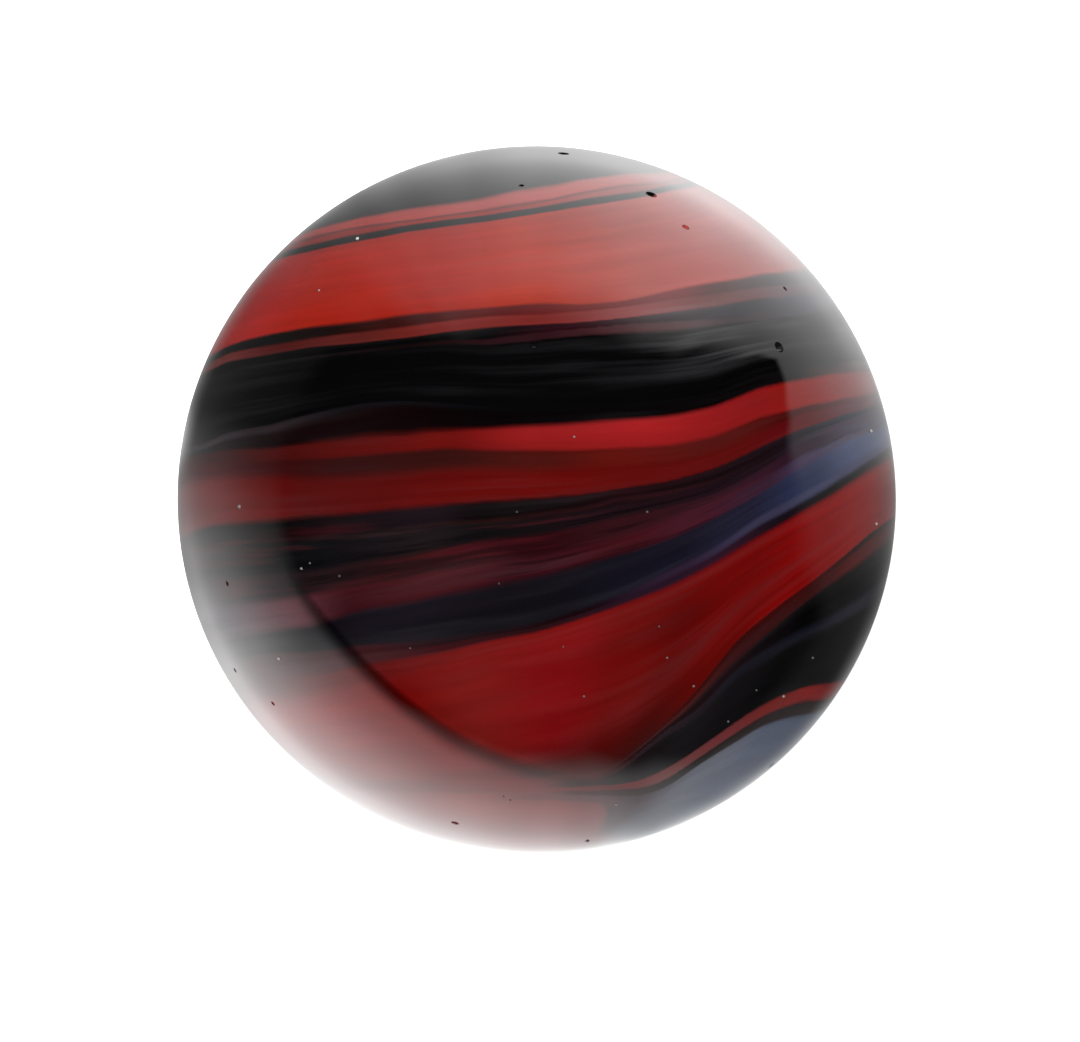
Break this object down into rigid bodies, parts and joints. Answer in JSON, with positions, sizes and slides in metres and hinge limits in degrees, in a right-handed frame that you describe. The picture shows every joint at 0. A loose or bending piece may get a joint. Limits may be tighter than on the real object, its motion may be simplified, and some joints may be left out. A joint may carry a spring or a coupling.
{
  "type": "glass marble",
  "caption": "Solid glass ball, a little longer than wide, with streaks of red, black and blue glass swirled through it and small open bubbles in its glossy skin.",
  "frame": {"origin": "centre of the ball", "axes": "+X along the ball's slightly longer axis, which the streaks roughly follow; +Z through the middle of the side with the widest red and black streaks; +Y across the streaks"},
  "size_m": [0.0162, 0.016, 0.016],
  "materials": {
    "swirl_glass": "fire-polished gloss, opaque, streaked red, black and blue"
  },
  "bodies": {
    "root": {"marble": "swirl_glass"}
  },
  "joints": []
}
